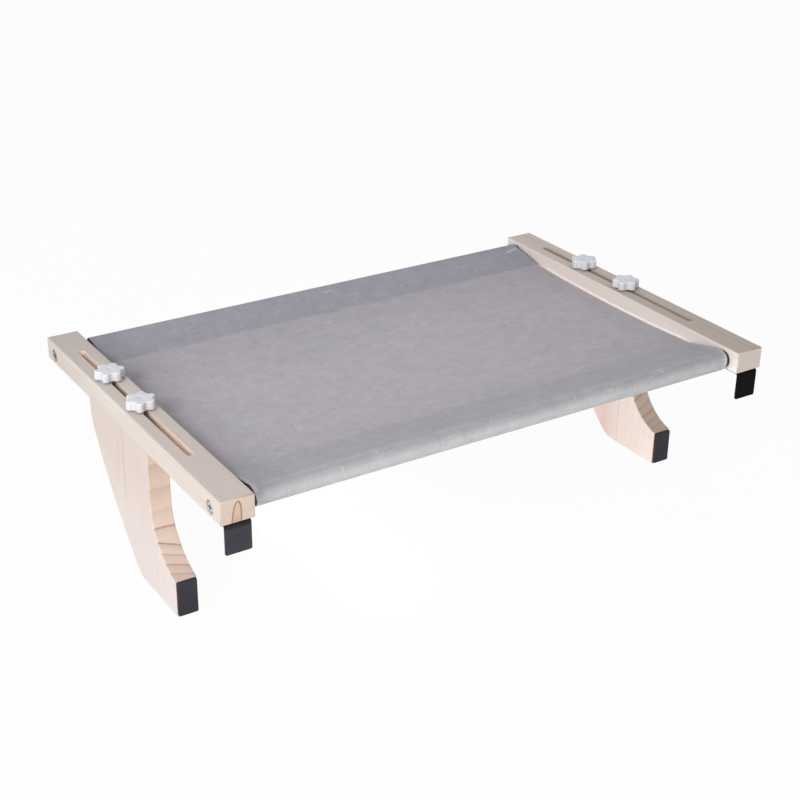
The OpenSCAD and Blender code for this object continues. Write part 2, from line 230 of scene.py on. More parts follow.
def growth_rings(g, swaying, rings):
    """How far a face is cut across the rings, and the dark late wood that it shows."""
    normal = Vector(rings["normal"]).normalized()
    from_line = g.vector("SUBTRACT", g.place, rings["through"])
    depth = g.vector("DOT_PRODUCT", from_line, normal, "Value")
    if "twist" in rings:
        share = g.spread(g.at(Z), *rings["twist_from"])
        depth = g.add(depth, g.times(g.times(g.parts(from_line)[X], share), rings["twist"]))
    sway = g.times(g.add(g.noise(swaying), -0.5), rings["sway"])
    count = g.add(g.times(g.add(depth, sway), 1.0 / rings["period"]), LATE_PEAK)
    within = g.math("FRACT", count)
    which = g.math("FLOOR", count)
    chance = g.node("TexWhiteNoise", {"W": which}, "Value", noise_dimensions="1D")
    band = g.times(g.spread(within, BAND_START, LATE_PEAK), BAND_DARK)
    line = g.times(g.spread(within, LINE_START, LATE_PEAK), LINE_DARK)
    if "crisp" in rings:
        line = g.times(line, g.spread(g.at(Z), *rings["crisp"], SOFT_LINE, 1.0))
    late = g.times(g.add(band, line), g.spread(within, 1.0, LATE_FADE))
    late = g.times(late, g.spread(chance, 0.0, 1.0, rings["least"], 1.0))
    across = g.vector("MULTIPLY", g.facing, rings["faces"])
    cut = g.spread(g.vector("LENGTH", across, output="Value"), *CUT_RANGE)
    strength = g.add(g.times(cut, rings["on_cut"] - rings["on_side"]), rings["on_side"])
    if "fade" in rings:
        strength = g.times(strength, g.spread(g.at(Z), *rings["fade"]))
    return cut, g.times(late, strength)


# Wood

# Its noises: scale across the fibres, scale along them, and what is added to the board's seed
SWAY_NOISE = (38, 8, 0.0)
FINE_NOISE = (1500, 30, 0.0)
STREAK_NOISE = (210, 6, 3.1)
VEIN_NOISE = (150, 1.6, 9.4)
BROAD_NOISE = (18, 4, 7.7)
PORE_NOISE = (900, 45, 5.3)
# Where a noise starts to show, and shows in full
STREAK_RANGE = (0.35, 0.75)
VEIN_RANGE = (0.64, 0.72)
PORE_RANGE = (0.66, 0.78)
# How much of each colour is laid over the board's own
STREAK_SHARE = 0.4
VEIN_SHARE = 0.2
CUT_SHARE = 0.85
PORE_SHARE = 0.16
# How far each stands up from the surface, in shares of the bump's depth
FINE_HEIGHT, LATE_HEIGHT, PORE_HEIGHT = 0.6, 0.5, -0.5


def wood(name, grain, rings, tones, seed, marks):
    """Sanded pine with its fibres along the axis grain. marks add what one board alone has."""
    g = Finish(name)

    def fibres(across, along, shift):
        """Places squeezed so that noise there runs along the fibres."""
        scale = [across] * 3
        scale[grain] = along
        return g.stretched(g.place, scale, seed + shift)

    cut, late = growth_rings(g, fibres(*SWAY_NOISE), rings)
    fine = g.noise(fibres(*FINE_NOISE), detail=3.0, roughness=0.6)
    streak = g.noise(fibres(*STREAK_NOISE), detail=3.0, roughness=0.55)
    vein = g.spread(g.noise(fibres(*VEIN_NOISE), detail=1.0), *VEIN_RANGE)
    broad = g.noise(fibres(*BROAD_NOISE))
    pores = g.spread(g.noise(fibres(*PORE_NOISE), detail=1.0), *PORE_RANGE)

    colour = g.mix(g.spread(broad, *USUAL), tones["light"], tones["warm"])
    colour = g.mix(g.times(g.spread(streak, *STREAK_RANGE), STREAK_SHARE), colour, tones["streak"])
    colour = g.mix(g.times(vein, VEIN_SHARE), colour, tones["vein"])
    colour = g.mix(g.times(cut, CUT_SHARE), colour, tones["cut"])
    colour = g.mix(late, colour, tones["late"])
    colour = g.mix(g.times(pores, PORE_SHARE), colour, tones["late"])
    colour = g.shaded(colour, g.spread(fine, *WIDE, to_low=0.96, to_high=1.03))
    for mark in marks:
        colour = mark(g, colour)

    height = g.add(g.times(fine, FINE_HEIGHT), g.times(late, LATE_HEIGHT))
    height = g.add(height, g.times(pores, PORE_HEIGHT))
    return g.done(
        Base_Color=colour,
        Roughness=g.spread(streak, *WIDE, to_low=0.5, to_high=0.64),
        Normal=g.bump(height, strength=0.25, distance=0.3 * MM),
        Specular_IOR_Level=0.35,
    )


# Marks of single boards, among them painted light and shade
RAIL_LOW, RAIL_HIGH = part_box("right_rail")
RAIL_X = (RAIL_LOW.x + RAIL_HIGH.x) / 2


def slot_edge():
    """The points of the right rail's slot, where it opens in the rail's top."""
    reach = (RAIL_HIGH.x - RAIL_LOW.x) / 4
    points = [vertex.co for vertex in cad["right_rail"].data.vertices]
    return [p for p in points if abs(p.z - RAIL_HIGH.z) < TOUCH and abs(p.x - RAIL_X) < reach]


SLOT_HALF = max(p.x for p in slot_edge()) - RAIL_X
SLOT_START = min(p.y for p in slot_edge())
SLOT_END = max(p.y for p in slot_edge())


def drifting(axis, start, stop, tint):
    """A board's colour that moves towards tint along an axis."""

    def mark(g, colour):
        return g.tinted(g.spread(g.at(axis), start, stop), colour, tint)

    return mark


def growth_line(start_y, lean, half_width, end_z, tint):
    """A line or streak that runs up a leg from end_z. start_y is its place where z is 0."""
    fade = 10 * MM

    def mark(g, colour):
        middle = g.add(g.times(g.at(Z), lean), start_y)
        off = g.size(g.math("SUBTRACT", g.at(Y), middle))
        share = g.times(g.spread(off, half_width, 0.0), g.spread(g.at(Z), end_z - fade, end_z))
        return g.tinted(share, colour, tint)

    return mark


def painted_top_shade(front_tint, rear_tint):
    """Painted shade on a board's top faces: darker than its sides, from front_tint at the front to
    rear_tint at the back.
    """
    front_y, rear_y = 50 * MM, 330 * MM

    def mark(g, colour):
        up = g.spread(g.faces(Z), 0.5, 0.95)
        tint = g.mix(g.spread(g.at(Y), front_y, rear_y), front_tint, rear_tint)
        return g.tinted(up, colour, tint)

    return mark


def painted_slot_shade(rail_x, upper, lower):
    """The milled slot's walls, painted light and shade: the upper colour by the rail's top, the lower
    colour deeper down.
    """
    middle_y = (SLOT_START + SLOT_END) / 2
    half_length = (SLOT_END - SLOT_START) / 2
    strength = 0.9

    def mark(g, colour):
        off_x = g.size(g.add(g.at(X), -rail_x))
        off_y = g.size(g.add(g.at(Y), -middle_y))
        side_on = g.spread(g.size(g.faces(Z)), 0.7, 0.4)
        near = g.spread(off_x, SLOT_HALF + 0.5 * MM, SLOT_HALF + 0.2 * MM)
        along = g.spread(off_y, half_length + 3 * MM, half_length + 1 * MM)
        deep = g.spread(g.at(Z), RAIL_HIGH.z - 3 * MM, RAIL_HIGH.z - 8 * MM)
        share = g.times(g.times(side_on, near), along)
        return g.mix(g.times(share, strength), colour, g.mix(deep, upper, lower))

    return mark


def pointed_arch(g, colour):
    """The narrow ring that stands on end in the left rail's front face, leaning a little."""
    base_x, apex_x = -264.5 * MM, -262.9 * MM
    half_width = 3.8 * MM
    base_z, apex_z = 2.0 * MM, 20.2 * MM
    height = apex_z - base_z
    line_width = 1.25 * MM
    point = 2.4
    front_y, back_y = 20 * MM, 50 * MM
    up = g.math("MAXIMUM", g.times(g.add(g.at(Z), -base_z), 1 / height), 0.0)
    axis = g.add(g.times(up, apex_x - base_x), base_x)
    across = g.times(g.size(g.math("SUBTRACT", g.at(X), axis)), 1 / half_width)
    # How far a place is from the curve across^2 + up^point = 1
    beyond = g.add(g.math("POWER", across, 2.0), g.add(g.math("POWER", up, point), -1.0))
    slope_x = g.times(across, 2.0 / half_width)
    slope_z = g.times(g.math("POWER", up, point - 1.0), point / height)
    slope = g.math("SQRT", g.add(g.times(slope_x, slope_x), g.times(slope_z, slope_z)))
    distance = g.math("DIVIDE", beyond, g.math("MAXIMUM", slope, 1.0))
    line = g.spread(g.size(distance), 0.7 * line_width, 0.3 * line_width)
    inside = g.spread(distance, 0.0, -1.5 * MM)
    end_on = g.spread(g.size(g.faces(Y)), 0.4, 0.9)
    front = g.times(end_on, g.spread(g.at(Y), back_y, front_y))
    low = g.spread(g.at(Z), 12 * MM, 5 * MM, to_low=0.25, to_high=0.6)
    colour = g.mix(g.times(g.times(inside, front), low), colour, rgb(0.44, 0.27, 0.16))
    return g.mix(g.times(g.times(line, front), 0.85), colour, rgb(0.24, 0.13, 0.065))


# Boards
RAIL_TONES = {
    "light": rgb(0.645, 0.59, 0.55),
    "warm": rgb(0.63, 0.55, 0.51),
    "streak": rgb(0.585, 0.505, 0.445),
    "vein": rgb(0.53, 0.435, 0.35),
    "cut": rgb(0.545, 0.42, 0.345),
    "late": rgb(0.33, 0.20, 0.12),
}
RIGHT_RAIL_TONES = dict(
    RAIL_TONES,
    light=rgb(0.75, 0.685, 0.645),
    warm=rgb(0.735, 0.645, 0.605),
    streak=rgb(0.69, 0.60, 0.55),
    cut=rgb(0.52, 0.435, 0.40),
)
LEG_TONES = dict(
    RAIL_TONES,
    light=rgb(0.67, 0.59, 0.55),
    warm=rgb(0.66, 0.565, 0.525),
    streak=rgb(0.645, 0.55, 0.495),
    vein=rgb(0.56, 0.45, 0.40),
    cut=rgb(0.63, 0.475, 0.38),
    late=rgb(0.34, 0.20, 0.125),
)
# Its light, warm and streak tones are paler than the left leg's: painted light on the face that sits in
# the sling's shade
RIGHT_LEG_TONES = dict(
    LEG_TONES,
    light=rgb(0.82, 0.73, 0.655),
    warm=rgb(0.805, 0.695, 0.63),
    streak=rgb(0.75, 0.65, 0.57),
    cut=rgb(0.52, 0.40, 0.315),
)
RAIL_RINGS = {"faces": (0, 1, 0), "on_side": 0.04, "sway": 4 * MM, "least": 0.0}
LEG_RINGS = {"faces": (0, 1, 1), "on_side": 0.03, "sway": 3 * MM, "least": 0.45}


def left_rail_wood():
    rings = dict(
        RAIL_RINGS,
        normal=(0.05, 0, 1),
        through=(-RAIL_X, 0, 5 * MM),
        period=2.4 * MM,
        on_cut=0.33,
        fade=(18 * MM, 11 * MM),
    )
    # Painted shade: the rail grows darker towards the back, where less light falls
    painted_rear_shade = drifting(Y, 190 * MM, 360 * MM, rgb(0.88, 0.89, 0.90))
    # Painted light: the left slot's walls paler than the rail, as if lit deep into the slot
    slot = painted_slot_shade(-RAIL_X, upper=rgb(0.88, 0.76, 0.65), lower=rgb(0.84, 0.67, 0.57))
    marks = (painted_rear_shade, slot, pointed_arch)
    return wood("pine_left_rail", Y, rings, RAIL_TONES, seed=1.3, marks=marks)


def right_rail_wood():
    rings = dict(
        RAIL_RINGS,
        normal=(0.3, 0, 1),
        through=(RAIL_X, 0, 6 * MM),
        period=4.1 * MM,
        on_cut=0.07,
    )
    # Painted shade: the right rail's top darker than its sides, most at the front
    top_shade = painted_top_shade(front_tint=rgb(0.65, 0.63, 0.595), rear_tint=rgb(0.855, 0.835, 0.835))
    # Painted shade: the right slot's walls darker, most deep down
    slot = painted_slot_shade(RAIL_X, upper=rgb(0.495, 0.38, 0.306), lower=rgb(0.25, 0.18, 0.135))
    marks = (top_shade, slot)
    return wood("pine_right_rail", Y, rings, RIGHT_RAIL_TONES, seed=8.9, marks=marks)


def left_leg_wood():
    rings = dict(
        LEG_RINGS,
        normal=(0, 1, 0.45),
        twist=0.33,
        twist_from=(-79 * MM, -88 * MM),
        crisp=(-58 * MM, -76 * MM),
        through=(-273 * MM, 121.5 * MM, -99.6 * MM),
        period=9.5 * MM,
        on_cut=0.85,
    )
    line_tint = rgb(0.90, 0.88, 0.86)
    marks = (
        drifting(Z, -50 * MM, -120 * MM, rgb(1.04, 1.07, 1.11)),
        # Painted shadow under the rail: the leg darker towards its top
        drifting(Z, -75 * MM, -30 * MM, rgb(0.94, 0.93, 0.92)),
        growth_line(206.3 * MM, lean=-0.152, half_width=2.2 * MM, end_z=-62 * MM, tint=line_tint),
        growth_line(199.3 * MM, lean=-0.025, half_width=4.0 * MM, end_z=-72 * MM, tint=line_tint),
    )
    return wood("pine_left_leg", Z, rings, LEG_TONES, seed=4.1, marks=marks)


def right_leg_wood():
    rings = dict(
        LEG_RINGS,
        normal=(-0.27, 1, 0.22),
        crisp=(-55 * MM, -70 * MM),
        through=(253 * MM, 124 * MM, -98 * MM),
        period=7.6 * MM,
        on_cut=0.8,
    )
    pink, brown = rgb(0.96, 0.825, 0.835), rgb(0.82, 0.83, 0.80)
    marks = (
        growth_line(184 * MM, lean=0.0, half_width=26 * MM, end_z=-140 * MM, tint=pink),
        growth_line(160 * MM, lean=0.0, half_width=1.2 * MM, end_z=-140 * MM, tint=brown),
    )
    return wood("pine_right_leg", Z, rings, RIGHT_LEG_TONES, seed=6.6, marks=marks)


# Cloth
SLING_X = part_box("sling")[1].x
YARN_PITCH = 0.85 * MM
# Its noises: scale across the sling, scale along it, and seed
WEFT_NOISE = (60, 1100, 1.0)
WARP_NOISE = (1100, 60, 2.0)
WANDER_NOISE = (160, 160, 4.0)
CLOUD_NOISE = (9, 11, 23.0)
MOTTLE_NOISE = (75, 95, 29.0)
# Thick pale yarns and thin dark ones, along the weft and the warp: noise, start and full strength
SLUBS = (((62, 430, 9.0), 0.70, 0.77), ((430, 75, 11.0), 0.72, 0.79))
FLECKS = (((110, 480, 17.0), 0.70, 0.76), ((460, 130, 19.0), 0.72, 0.78))


def cloth_noise(g, uv, scale_u, scale_v, seed, detail=2.0):
    return g.noise(g.stretched(uv, (scale_u, scale_v, 1.0), seed), detail=detail, roughness=0.55)


def strewn(g, uv, kinds):
    """Where single yarns show, along the weft or the warp."""
    weft, warp = (
        g.spread(cloth_noise(g, uv, *scales, detail=1.0), start, full) for scales, start, full in kinds
    )
    return g.math("MAXIMUM", weft, warp)


def weave(g, uv):
    """The yarns' own unevenness, and which of two yarns lies on top where they cross."""
    u, v, _ = g.parts(uv)
    wander = g.times(g.add(cloth_noise(g, uv, *WANDER_NOISE), -0.5), 0.5)
    across, along = (
        g.math("SINE", g.times(g.add(g.times(way, 1 / YARN_PITCH), wander), math.pi)) for way in (u, v)
    )
    over = g.spread(g.times(across, along), -0.7, 0.7)
    weft = cloth_noise(g, uv, *WEFT_NOISE)
    warp = cloth_noise(g, uv, *WARP_NOISE)
    return g.add(g.times(weft, 0.5), g.times(warp, 0.5)), over


def cloth_colour(g, uv, from_edge):
    """The sewn sleeves carry painted shade: cooler and darker than the single cloth between the seams,
    the rear one more.
    The front sleeve's roll has painted shade on its shoulder and painted light below it, and is paler at
    its two ends."""
    sleeve = g.node("Attribute", {}, "Fac", attribute_name="sleeve")
    front = g.math("MAXIMUM", g.times(sleeve, -1.0), 0.0)
    rear = g.math("MAXIMUM", sleeve, 0.0)
    broad = g.spread(cloth_noise(g, uv, *CLOUD_NOISE), *USUAL)
    panel = g.mix(broad, rgb(0.479, 0.442, 0.480), rgb(0.456, 0.436, 0.474))
    # Painted shade on the roll's shoulder, and painted light lower on the roll
    shoulder = g.spread(g.faces(Z), 0.985, 0.88)
    roll = g.mix(shoulder, rgb(0.418, 0.415, 0.462), rgb(0.352, 0.352, 0.370))
    painted_light_below = g.spread(g.faces(Z), 0.85, 0.0)
    roll = g.mix(painted_light_below, roll, rgb(0.465, 0.465, 0.475))
    # Painted shade: the sleeves darker and cooler than the panel, the rear one most
    colour = g.mix(front, panel, roll)
    colour = g.mix(rear, colour, rgb(0.374, 0.364, 0.417))
    rim = g.times(g.spread(from_edge, 5 * MM, 1.5 * MM), front)
    return g.mix(g.times(rim, 0.6), colour, rgb(0.60, 0.57, 0.58))


def cloth_shade(g, uv, from_edge, yarn, over):
    """What the cloth's colour is multiplied by: the yarns, the weave and mottle, and slow painted shade
    and light.
    """
    u = g.parts(uv)[X]
    y = g.at(Y)
    # Slow painted shade and light: what each follows, where it starts and stops, and the shade at the
    # stop
    # Painted shadow of the rails near both edges, most at the left; painted shade towards the right end
    # and the rear; painted light across the front middle
    painted_shading = (
        (from_edge, 45 * MM, 4 * MM, 0.92),
        (u, 60 * MM, 12 * MM, 0.93),
        (u, 290 * MM, 440 * MM, 0.95),
        (y, 62 * MM, 105 * MM, 1.05),
        (y, 205 * MM, 300 * MM, 0.90),
    )
    shade = g.spread(yarn, *USUAL, to_low=0.92, to_high=1.08)
    for value, start, stop, stop_shade in painted_shading:
        shade = g.times(shade, g.spread(value, start, stop, 1.0, stop_shade))
    shade = g.times(shade, g.spread(over, 0.0, 1.0, to_low=0.95, to_high=1.04))
    mottle = cloth_noise(g, uv, *MOTTLE_NOISE)
    return g.times(shade, g.spread(mottle, *USUAL, to_low=0.96, to_high=1.04))


def canvas():
    """Plain-weave grey canvas. Its UV map runs along the yarns, in metres."""
    g = Finish("grey_canvas")
    uv = g.node("UVMap", {}, uv_map="threads")
    u = g.parts(uv)[X]
    from_edge = g.math("MINIMUM", u, g.add(g.times(u, -1.0), 2 * SLING_X))
    yarn, over = weave(g, uv)
    slubs = strewn(g, uv, SLUBS)
    flecks = strewn(g, uv, FLECKS)
    colour = cloth_colour(g, uv, from_edge)
    colour = g.shaded(colour, cloth_shade(g, uv, from_edge, yarn, over))
    colour = g.mix(g.times(slubs, 0.5), colour, rgb(0.66, 0.65, 0.67))
    colour = g.mix(g.times(flecks, 0.5), colour, rgb(0.25, 0.24, 0.26))
    height = g.add(g.times(over, 0.5), g.times(yarn, 0.6))
    height = g.add(height, g.times(slubs, 0.5))
    return g.done(
        Base_Color=colour,
        Roughness=g.spread(yarn, *USUAL, to_low=0.82, to_high=0.95),
        Normal=g.bump(height, strength=0.4, distance=0.4 * MM),
        Sheen_Weight=0.1,
        Sheen_Roughness=0.6,
        Specular_IOR_Level=0.2,
    )


def thread(name, shadow, light):
    """Polyester sewing thread, twisted."""
    g = Finish(name)
    twist_angle = 0.9
    twist_scale = (2600, 2600, 2600)
    turned = {"Vector": g.place, "Rotation": (0, 0, twist_angle), "Scale": twist_scale}
    ply = g.math("SINE", g.parts(g.node("Mapping", turned))[X])
    dust = g.noise(g.place, scale=700.0)
    colour = g.mix(g.spread(ply, -1, 1), shadow, light)
    colour = g.shaded(colour, g.spread(dust, *USUAL, to_low=0.94, to_high=1.05))
    return g.done(
        Base_Color=colour,
        Roughness=g.spread(dust, *USUAL, to_low=0.55, to_high=0.7),
        Normal=g.bump(ply, strength=0.3, distance=0.1 * MM),
        Specular_IOR_Level=0.3,
    )


# Coats, metal and plastic
BLACK_COAT = {
    "colour": rgb(0.024, 0.025, 0.032),
    "worn_colour": rgb(0.031, 0.032, 0.040),
    "rough": (0.45, 0.6),
    "grain": 1500.0,
    "strength": 0.2,
    "gloss": 0.25,
}
# The same black coat, darker and less glossy: painted shade for the right hook, which catches less light
SHADED_COAT = dict(
    BLACK_COAT,
    colour=rgb(0.003, 0.003, 0.003),
    worn_colour=rgb(0.005, 0.005, 0.005),
    rough=(0.6, 0.75),
    gloss=0.04,
)
RUBBER = dict(
    BLACK_COAT,
    colour=rgb(0.027, 0.024, 0.034),
    worn_colour=rgb(0.034, 0.030, 0.041),
    rough=(0.66, 0.84),
    grain=900.0,
    strength=0.3,
)
PLATE_ROUGH = (0.22, 0.40)
BRASS_ROUGH = (0.28, 0.42)
# A fine texture's noise, from its lows to its highs
TEXTURE_RANGE = (0.25, 0.75)


def coated(name, colour, worn_colour, rough, grain, strength, gloss, bend_z=None):
    """A dark finish with a fine surface texture: powder coat or rubber. Above bend_z it is painted
    blacker, a painted shadow under the rail.
    """
    g = Finish(name)
    peel = g.noise(g.place, scale=grain, detail=3.0, roughness=0.6)
    worn = g.noise(g.place, scale=38.0, detail=4.0, roughness=0.6)
    tint = g.mix(g.spread(worn, 0.35, 0.7), colour, worn_colour)
    specks = g.spread(g.noise(g.place, scale=grain * 2.7, detail=1.0), 0.68, 0.8)
    tint = g.mix(g.times(specks, 0.25), tint, rgb(0.12, 0.12, 0.135))
    if bend_z is not None:
        # Painted shadow under the rail, on the top of the hook's bend
        above = g.spread(g.at(Z), bend_z - 3 * MM, bend_z)
        tint = g.mix(above, tint, rgb(0.004, 0.004, 0.004))
    return g.done(
        Base_Color=tint,
        Roughness=g.spread(peel, *TEXTURE_RANGE, *rough),
        Normal=g.bump(peel, strength, distance=0.2 * MM),
        Specular_IOR_Level=gloss,
    )


def plated(name, colour, rough, face_x=None):
    """Bright plated metal with fine drawing marks. Where face_x gives the face of a bolt's head, painted
    shade darkens the recess behind it, and more painted shade dims the whole rear bolt."""
    g = Finish(name)
    marks = g.noise(g.stretched(g.place, (300, 2600, 2600)), detail=3.0)
    cloud = g.noise(g.place, scale=260.0, detail=3.0)
    tint = g.shaded(colour, g.spread(cloud, *USUAL, to_low=1.0, to_high=0.82))
    if face_x is not None:
        depth = g.add(g.times(g.size(g.at(X)), -1.0), face_x)
        # Painted shade in the recess behind the bolt's head
        tint = g.mix(g.spread(depth, 0.2 * MM, 1.2 * MM), tint, rgb(0.10, 0.10, 0.11))
        # Painted shade on the rear bolt, which catches less light
        tint = g.mix(g.spread(g.at(Y), 100 * MM, 300 * MM), tint, rgb(0.30, 0.29, 0.29))
    return g.done(
        Base_Color=tint,
        Metallic=1.0,
        Roughness=g.spread(marks, *TEXTURE_RANGE, *rough),
        Normal=g.bump(marks, strength=0.12, distance=0.1 * MM),
    )


def moulded():
    """White moulded plastic with a faint moulding texture, and painted shade that makes it a little
    darker on its sides.
    """
    g = Finish("white_moulding")
    cloud = g.noise(g.place, scale=90.0, detail=3.0)
    fine = g.noise(g.place, scale=2400.0)
    colour = g.mix(g.spread(cloud, *USUAL), rgb(0.755, 0.755, 0.81), rgb(0.72, 0.724, 0.782))
    # Painted shade: the sides darker than the top
    colour = g.shaded(colour, g.spread(g.faces(Z), 0.2, 0.8, to_low=0.86, to_high=1.0))
    return g.done(
        Base_Color=colour,
        Roughness=g.spread(cloud, *USUAL, to_low=0.34, to_high=0.46),
        Normal=g.bump(fine, strength=0.06, distance=0.1 * MM),
        Specular_IOR_Level=0.4,
    )


# How far below the rail the painted shadow on the left hook's bend begins
BEND_DROP = 3 * MM
BOLT_FACE_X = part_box("right_rod_bolts")[1].x
materials = {
    "left_rail": left_rail_wood(),
    "right_rail": right_rail_wood(),
    "left_leg": left_leg_wood(),
    "right_leg": right_leg_wood(),
    "canvas": canvas(),
    "thread": thread("grey_thread", rgb(0.39, 0.39, 0.415), rgb(0.50, 0.495, 0.52)),
    "pale_thread": thread("pale_thread", rgb(0.62, 0.62, 0.63), rgb(0.80, 0.80, 0.81)),
    "paint": coated("black_coat", **BLACK_COAT),
    "left_hook_paint": coated("black_coat_left", **BLACK_COAT, bend_z=RAIL_LOW.z - BEND_DROP),
    "right_hook_paint": coated("black_coat_right", **SHADED_COAT),
    "rubber": coated("black_rubber", **RUBBER),
    "zinc": plated("zinc_plate", rgb(0.66, 0.67, 0.70), PLATE_ROUGH),
    "bolt": plated("zinc_bolt", rgb(0.70, 0.71, 0.75), PLATE_ROUGH, BOLT_FACE_X),
    "brass": plated("plain_brass", rgb(0.72, 0.56, 0.28), BRASS_ROUGH),
    "plastic": moulded(),
}


# Mesh tools
WELD = 0.002 * MM
FLAT_ANGLE = math.radians(0.4)


def dress(node, material):
    """Gives every slot of a CAD node one material."""
    piece = cad[node]
    if not piece.material_slots:
        piece.data.materials.append(material)
    for held in piece.material_slots:
        held.material = material


def piece_of(mesh, name, body, material, sharp):
    """A new smooth-shaded piece that rides on a body. Edges above sharp degrees stay sharp."""
    mesh.shade_smooth()
    mesh.set_sharp_from_angle(angle=math.radians(sharp))
    made = bpy.data.objects.new(name, mesh)
    scene.collection.objects.link(made)
    mesh.materials.clear()
    mesh.materials.append(material)
    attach(made, body)
    return made


def to_mesh(bm, name):
    mesh = bpy.data.meshes.new(name)
    bm.to_mesh(mesh)
    bm.free()
    return mesh


def solid_mesh(bm, name):
    """The mesh of a closed skin, its faces turned outward."""
    bmesh.ops.recalc_face_normals(bm, faces=bm.faces)
    return to_mesh(bm, name)


def even_normals(piece):
    """Flat faces keep flat shading next to their rounded edges."""
    even = piece.modifiers.new("even_normals", "WEIGHTED_NORMAL")
    even.keep_sharp = True
    even.weight = 100


def rounded(node, finish, body, slot, material, width, segments, sharp, test):
    """Stands for a CAD node: its own solid, with the sharp edges that pass the test rounded."""
    name = f"{node}_{finish}"
    bm = bmesh.new()
    bm.from_mesh(cad[node].data)
    bmesh.ops.remove_doubles(bm, verts=bm.verts, dist=WELD)
    bmesh.ops.dissolve_limit(bm, angle_limit=FLAT_ANGLE, verts=bm.verts, edges=bm.edges)
    corners = [
        edge
        for edge in bm.edges
        if len(edge.link_faces) == 2
        and edge.calc_face_angle(0.0) > math.radians(sharp)
        and test((edge.verts[0].co + edge.verts[1].co) / 2)
    ]
    bmesh.ops.bevel(
        bm,
        geom=corners,
        offset=width,
        offset_type="OFFSET",
        segments=segments,
        profile=0.5,
        affect="EDGES",
        clamp_overlap=True,
    )
    bmesh.ops.triangulate(bm, faces=[f for f in bm.faces if len(f.verts) > 4])
    made = piece_of(solid_mesh(bm, name), name, body, material, sharp)
    even_normals(made)
    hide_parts(node)


def loft(bm, rings):
    """Adds a closed skin through rings of equally many points."""
    rows = [[bm.verts.new(p) for p in ring] for ring in rings]
    for low, high in zip(rows, rows[1:]):
        for i in range(len(low)):
            j = (i + 1) % len(low)
            bm.faces.new((low[i], low[j], high[j], high[i]))
    bm.faces.new(rows[0][::-1])
    bm.faces.new(rows[-1])


# Rails, legs, hooks and pads
RAIL_EDGE = {"width": 0.25 * MM, "segments": 2, "sharp": 35.0}
LEG_EDGE = {"width": 1.3 * MM, "segments": 4, "sharp": 25.0}
HOOK_EDGE = {"width": 0.35 * MM, "segments": 2, "sharp": 40.0}
PAD_EDGE = {"width": 0.7 * MM, "segments": 3, "sharp": 40.0}


def make_rail(side):
    node = side + "_rail"
    low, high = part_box(node)
    outer = max(-low.x, high.x)
    corner_margin = 2 * MM

    def at_slot_or_bolt(middle):
        on_top = abs(middle.z - high.z) < TOUCH
        inside = low.x + corner_margin < middle.x < high.x - corner_margin
        return (on_top and inside) or abs(abs(middle.x) - outer) < TOUCH

    rounded(node, "wood", "frame", "pine", materials[node], **RAIL_EDGE, test=at_slot_or_bolt)


def make_leg(side):
    node = side + "_leg"
    low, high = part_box(node)
    top_margin = 0.1 * MM

    def on_flank(middle):
        flank = min(abs(middle.x - low.x), abs(middle.x - high.x))
        return flank < TOUCH and middle.z < high.z - top_margin

    rounded(node, "wood", node, "pine", materials[node], **LEG_EDGE, test=on_flank)


def make_hook(side):
    paint = materials[side + "_hook_paint"]

    def anywhere(middle):
        return True

    rounded(side + "_hook", "steel", "frame", "black_steel", paint, **HOOK_EDGE, test=anywhere)


def make_pad(side):
    node = side + "_foot_pad"
    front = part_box(node)[0].y

    def on_face(middle):
        return abs(middle.y - front) < TOUCH

    rounded(node, "rubber", side + "_leg", "rubber", materials["rubber"], **PAD_EDGE, test=on_face)


def make_frame():
    for side in SIDES:
        make_rail(side)
        make_leg(side)
        make_hook(side)
        make_pad(side)
        dress(side + "_rod_bolts", materials["bolt"])
        dress(side + "_hook_screws", materials["zinc"])
        dress(side + "_inserts", materials["brass"])
    for end in ENDS:
        dress(end + "_rod", materials["paint"])
        dress(end + "_rod_plugs", materials["zinc"])


make_frame()


# Knobs
LOBES = 6
LOBE_RADIUS = 3.7 * MM
LOBE_STEPS = 14
HOLLOW_STEPS = 10
KNOB_RADIUS = 13.5 * MM
KNOB_BORE = 3.0 * MM
HUB_RADIUS = 7.0 * MM
HUB_HEIGHT = 1.6 * MM
HUB_CHAMFER = 0.3 * MM
BOTTOM_ROUND = 0.5 * MM
BOTTOM_STEPS = 3
TOP_ROUND = 1.1 * MM
TOP_ROUND_STEPS = 5
# The sides lean in by the draft, and the top rises by the crown to its middle
DRAFT = 0.12 * MM
CROWN = 0.15 * MM
CROWN_RADIUS = 5.0 * MM
RIM_WIDTH = 0.6 * MM
RIM_DROP = 0.6
# The small dimple in the middle of the top
DIMPLE_RADIUS = 1.3 * MM
DIMPLE_FLOOR = 0.9 * MM
DIMPLE_DEPTH = 0.25 * MM
# How far each knob is turned, in degrees
KNOB_TURN = {"left_front": 4, "left_rear": 50, "right_front": 30, "right_rear": 57}
KNOB_SHARP = 50.0


def arc(centre, radius, start, end, count):
    """count points of an arc, its last point left out."""
    turns = [start + (end - start) * i / count for i in range(count)]
    return [centre + radius * Vector((math.cos(a), math.sin(a))) for a in turns]


